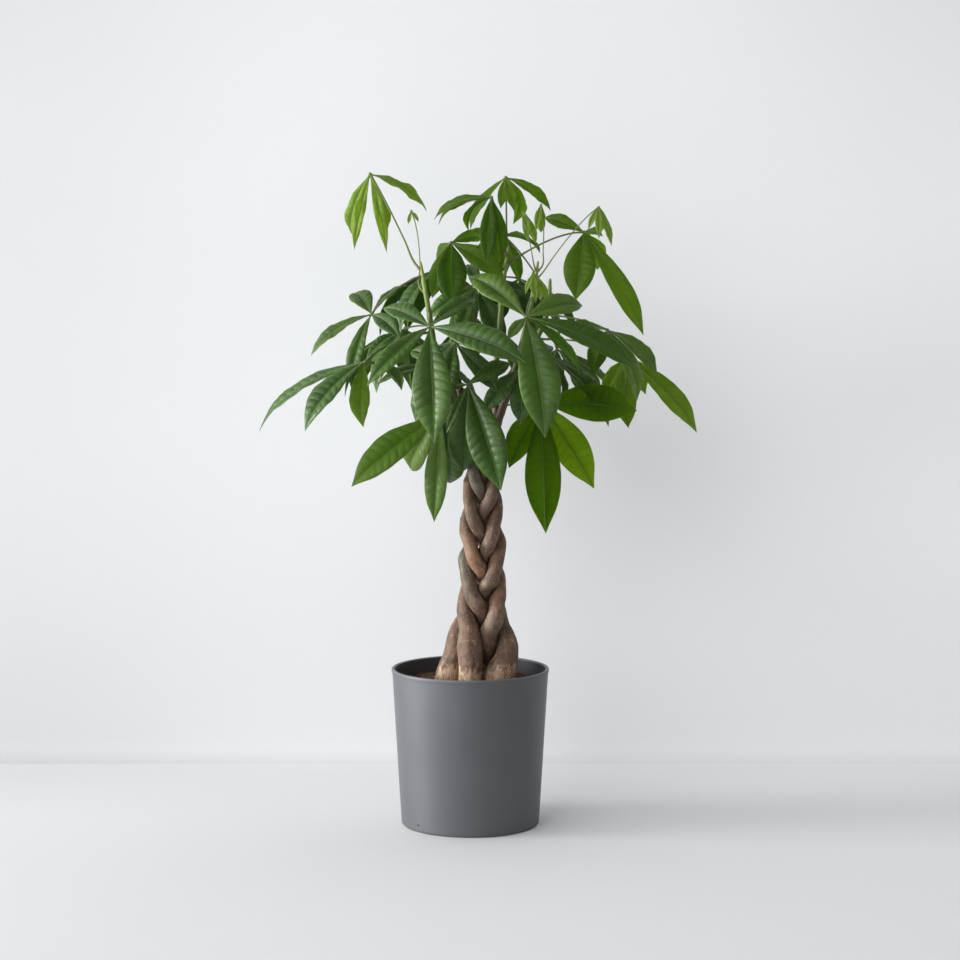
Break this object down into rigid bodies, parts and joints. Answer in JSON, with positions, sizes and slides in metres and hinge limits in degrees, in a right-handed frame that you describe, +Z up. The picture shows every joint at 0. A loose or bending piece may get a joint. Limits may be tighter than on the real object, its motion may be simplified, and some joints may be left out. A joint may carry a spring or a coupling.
{
  "type": "potted money tree",
  "caption": "Indoor money tree: braided woody stems rising from a tapered round grey pot of soil, with a loose crown of hand-shaped green leaves.",
  "frame": {"origin": "centre of the pot's underside, on the surface it stands on", "axes": "+Z up through the pot's axis; -Y is the front, the side seen in the picture; +X to the right"},
  "size_m": [0.6137, 0.5174, 0.907],
  "materials": {
    "pot_grey": "matte",
    "soil": "matte",
    "bark": "matte",
    "leaf_green": "satin",
    "leaf_young": "satin"
  },
  "bodies": {
    "root": {"pot": "pot_grey", "soil": "soil", "stem_left": "bark", "stem_centre_right": "bark", "stem_centre_left": "bark", "stem_right": "bark", "stem_back": "bark", "leaf_01": "leaf_green", "leaf_02": "leaf_green", "leaf_03": "leaf_green", "leaf_04": "leaf_green", "leaf_05": "leaf_green", "leaf_06": "leaf_green", "leaf_07": "leaf_green", "leaf_08": "leaf_green", "leaf_09": "leaf_green", "leaf_10": "leaf_green", "leaf_11": "leaf_green", "leaf_12": "leaf_green", "leaf_13": "leaf_green", "leaf_14": "leaf_green", "leaf_15": "leaf_green", "leaf_16": "leaf_green", "leaf_17": "leaf_green", "leaf_18": "leaf_green", "leaf_19": "leaf_green", "leaf_20": "leaf_green", "leaf_21": "leaf_green", "leaf_22": "leaf_green", "leaf_23": "leaf_green", "leaf_24": "leaf_green", "leaf_25": "leaf_green", "leaf_26": "leaf_green", "shoot_1": "leaf_young", "shoot_2": "leaf_young", "shoot_3": "leaf_young", "shoot_4": "leaf_young", "shoot_5": "leaf_young"}
  },
  "joints": []
}
